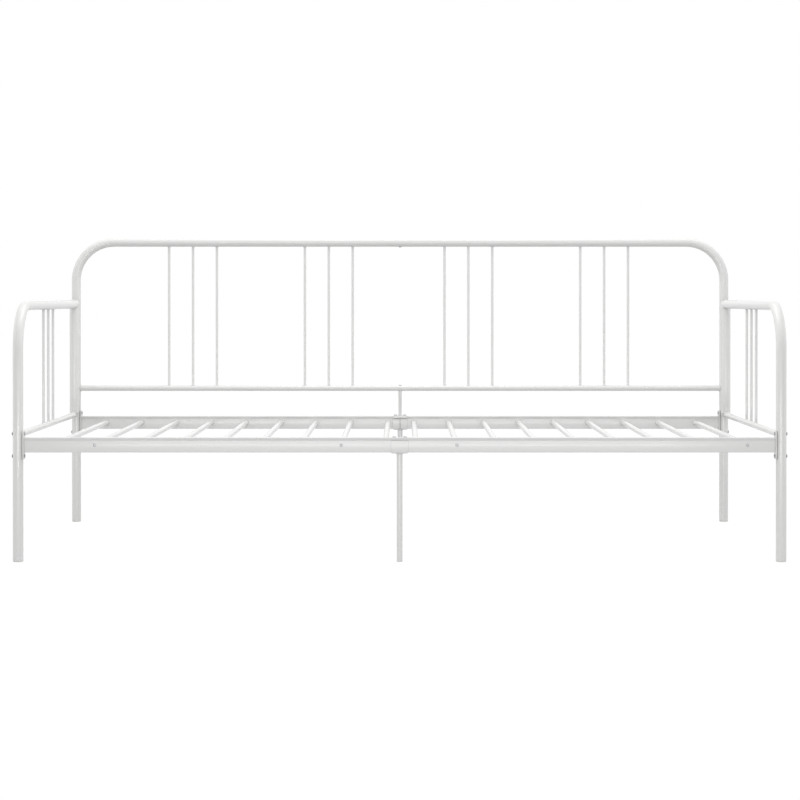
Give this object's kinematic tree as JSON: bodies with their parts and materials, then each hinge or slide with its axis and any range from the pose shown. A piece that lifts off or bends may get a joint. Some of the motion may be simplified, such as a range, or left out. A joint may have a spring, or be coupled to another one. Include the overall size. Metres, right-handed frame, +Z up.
{
  "type": "daybed",
  "caption": "Daybed frame of bent steel tube with a hooped spindle back, open spindle arms at both ends, seat rails and round cross slats, standing on tube legs.",
  "frame": {"origin": "on the floor, under the middle of the overall box", "axes": "+X along the bed's length, to the right as seen from the open front; +Y from the open front towards the back panel; +Z up"},
  "size_m": [2.0794, 0.9607, 0.896],
  "materials": {
    "white_powder_coat": "white powder coat, semi-gloss",
    "zinc_fasteners": "dull zinc plated",
    "bright_steel": "bright drawn steel",
    "white_plastic": "moulded, fine matt"
  },
  "bodies": {
    "root": {"back_hoop_left": "white_powder_coat", "back_hoop_right": "white_powder_coat", "back_top_spigot": "bright_steel", "back_lower_rail_left": "white_powder_coat", "back_lower_rail_right": "white_powder_coat", "back_lower_spigot": "bright_steel", "back_spindles_left": "white_powder_coat", "back_spindles_right": "white_powder_coat", "back_joint_bolts": "zinc_fasteners", "back_joint_nut": "bright_steel", "rear_centre_post": "white_powder_coat", "side_left_arm_tube": "white_powder_coat", "side_right_arm_tube": "white_powder_coat", "side_left_upright": "white_powder_coat", "side_right_upright": "white_powder_coat", "side_left_cross_rail": "white_powder_coat", "side_right_cross_rail": "white_powder_coat", "side_left_spindles": "white_powder_coat", "side_right_spindles": "white_powder_coat", "arm_end_plugs": "white_plastic", "cross_rail_plugs": "white_plastic", "front_rail_left": "white_powder_coat", "front_rail_right": "white_powder_coat", "rear_rail_left": "white_powder_coat", "rear_rail_right": "white_powder_coat", "rail_end_plates": "white_powder_coat", "slats_left_plain": "white_powder_coat", "slats_left_tie": "white_powder_coat", "slats_right_plain": "white_powder_coat", "slats_right_tie": "white_powder_coat", "slat_plugs_front": "white_plastic", "slat_plugs_rear": "white_plastic", "slat_inserts": "bright_steel", "slat_screws": "zinc_fasteners", "centre_bracket_front": "white_powder_coat", "centre_bracket_rear": "white_powder_coat", "centre_leg_front": "white_powder_coat", "centre_leg_rear": "white_powder_coat", "bracket_bolts": "zinc_fasteners", "bracket_nuts": "bright_steel", "rail_bolts": "zinc_fasteners", "rail_nuts": "zinc_fasteners", "side_joint_bolts": "zinc_fasteners", "side_joint_spacers": "white_plastic", "side_joint_nuts": "bright_steel", "leg_feet": "white_plastic", "centre_leg_feet": "white_plastic"}
  },
  "joints": []
}
